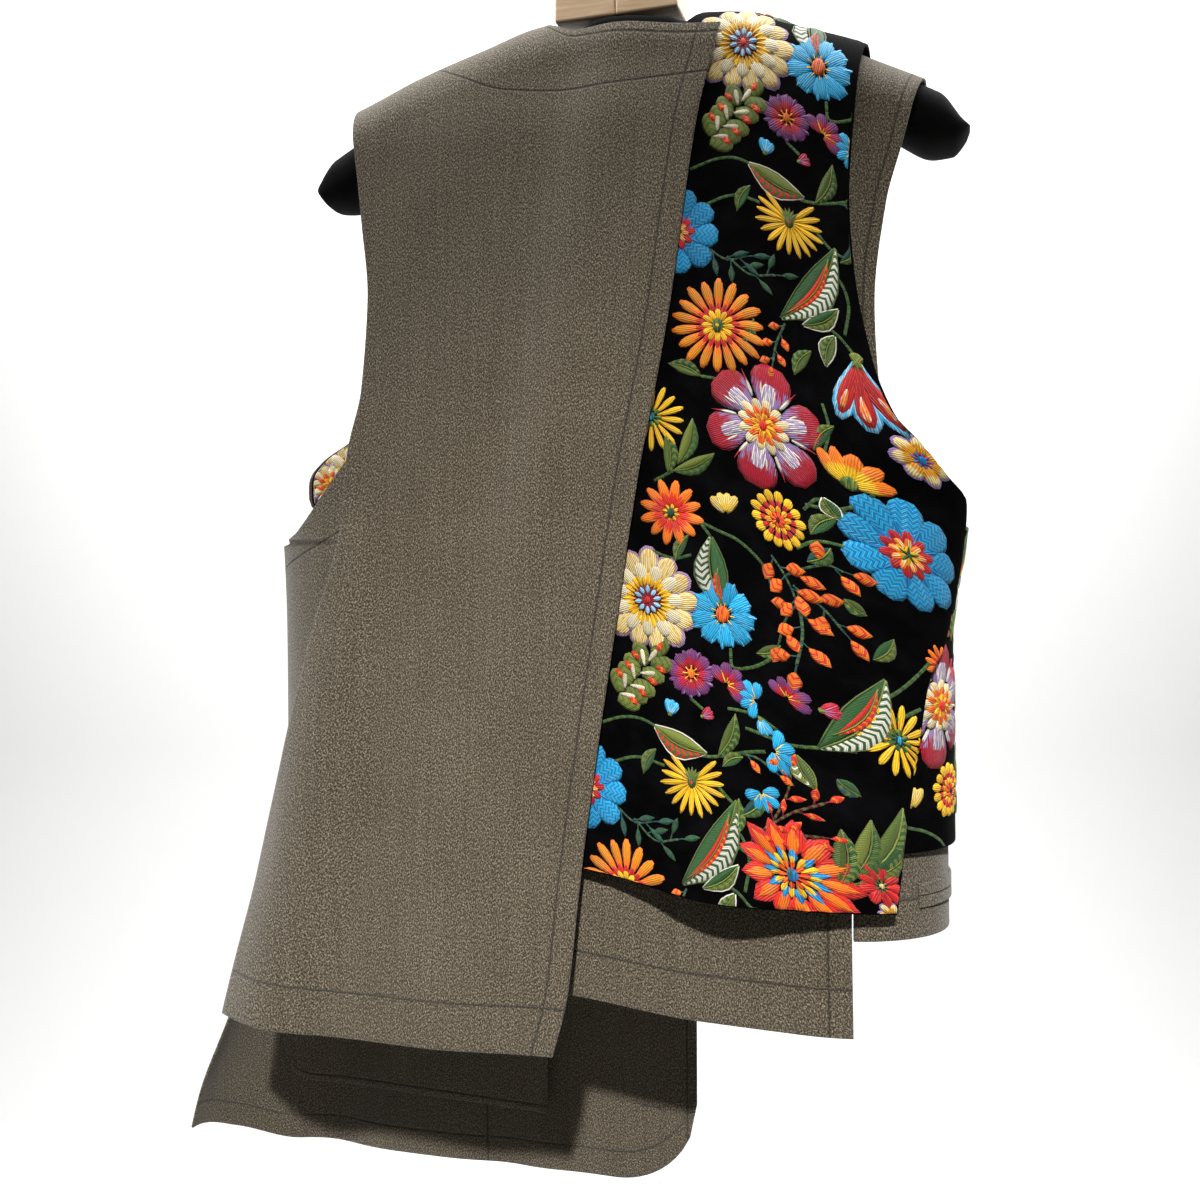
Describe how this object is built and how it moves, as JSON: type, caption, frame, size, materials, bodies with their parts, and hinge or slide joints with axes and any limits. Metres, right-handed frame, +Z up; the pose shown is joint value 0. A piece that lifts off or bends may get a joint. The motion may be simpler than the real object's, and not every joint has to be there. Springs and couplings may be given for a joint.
{
  "type": "embroidered layered waistcoat on a hanger",
  "caption": "Asymmetric layered waistcoat of grey-brown wool and floral-embroidered black velvet, seen from the back, on a wide-shouldered hanger with a hook.",
  "frame": {"origin": "the point inside the top of the hanger's hook that bears on the rail", "axes": "+Z up, +X to the wearer's right side as the back is looked at (image right), -Y the garment's back, which the picture shows"},
  "size_m": [0.5726, 0.1628, 0.9508],
  "materials": {
    "left_back": "grey-brown heathered wool flannel, matt",
    "right_back": "black velvet with raised floral embroidery",
    "under_back": "grey-brown heathered wool flannel, matt",
    "left_front": "grey-brown heathered wool flannel, matt",
    "left_armhole_facing": "black velvet with raised floral embroidery",
    "left_front_inner_panel": "grey-brown wool flannel, matt",
    "right_front": "grey-brown heathered wool flannel, matt",
    "right_front_overlay": "black velvet with raised floral embroidery",
    "pocket_welt_upper": "grey-brown wool flannel, matt",
    "pocket_welt_lower": "grey-brown wool flannel, matt",
    "button_1": "dark horn, satin",
    "button_2": "dark horn, satin",
    "button_3": "dark horn, satin",
    "button_4": "dark horn, satin",
    "flower_01_cream": "satin-stitched thread",
    "flower_02_blue": "satin-stitched thread",
    "flower_03_yellow": "satin-stitched thread",
    "flower_04_orange": "satin-stitched thread",
    "flower_05_crimson": "satin-stitched thread",
    "flower_06_yellow": "satin-stitched thread",
    "flower_07_orange": "satin-stitched thread",
    "flower_08_yellow": "satin-stitched thread",
    "flower_09_blue": "satin-stitched thread",
    "flower_10_cream": "satin-stitched thread",
    "flower_11_blue": "satin-stitched thread",
    "flower_12_crimson": "satin-stitched thread",
    "flower_13_yellow": "satin-stitched thread",
    "flower_14_yellow": "satin-stitched thread",
    "flower_15_blue": "satin-stitched thread",
    "flower_16_red": "satin-stitched thread",
    "hanger_shoulders": "black flocked, matt",
    "hanger_neck_block_left": "clear satin varnish",
    "hanger_neck_block_right": "clear satin varnish",
    "hanger_hook": "satin steel wire"
  },
  "bodies": {
    "root": {"left_back": "left_back", "right_back": "right_back", "under_back": "under_back", "left_front": "left_front", "left_armhole_facing": "left_armhole_facing", "left_front_inner_panel": "left_front_inner_panel", "right_front": "right_front", "right_front_overlay": "right_front_overlay", "pocket_welt_upper": "pocket_welt_upper", "pocket_welt_lower": "pocket_welt_lower", "button_1": "button_1", "button_2": "button_2", "button_3": "button_3", "button_4": "button_4", "flower_01_cream": "flower_01_cream", "flower_02_blue": "flower_02_blue", "flower_03_yellow": "flower_03_yellow", "flower_04_orange": "flower_04_orange", "flower_05_crimson": "flower_05_crimson", "flower_06_yellow": "flower_06_yellow", "flower_07_orange": "flower_07_orange", "flower_08_yellow": "flower_08_yellow", "flower_09_blue": "flower_09_blue", "flower_10_cream": "flower_10_cream", "flower_11_blue": "flower_11_blue", "flower_12_crimson": "flower_12_crimson", "flower_13_yellow": "flower_13_yellow", "flower_14_yellow": "flower_14_yellow", "flower_15_blue": "flower_15_blue", "flower_16_red": "flower_16_red", "hanger_shoulders": "hanger_shoulders", "hanger_neck_block_left": "hanger_neck_block_left", "hanger_neck_block_right": "hanger_neck_block_right", "hanger_hook": "hanger_hook"}
  },
  "joints": []
}
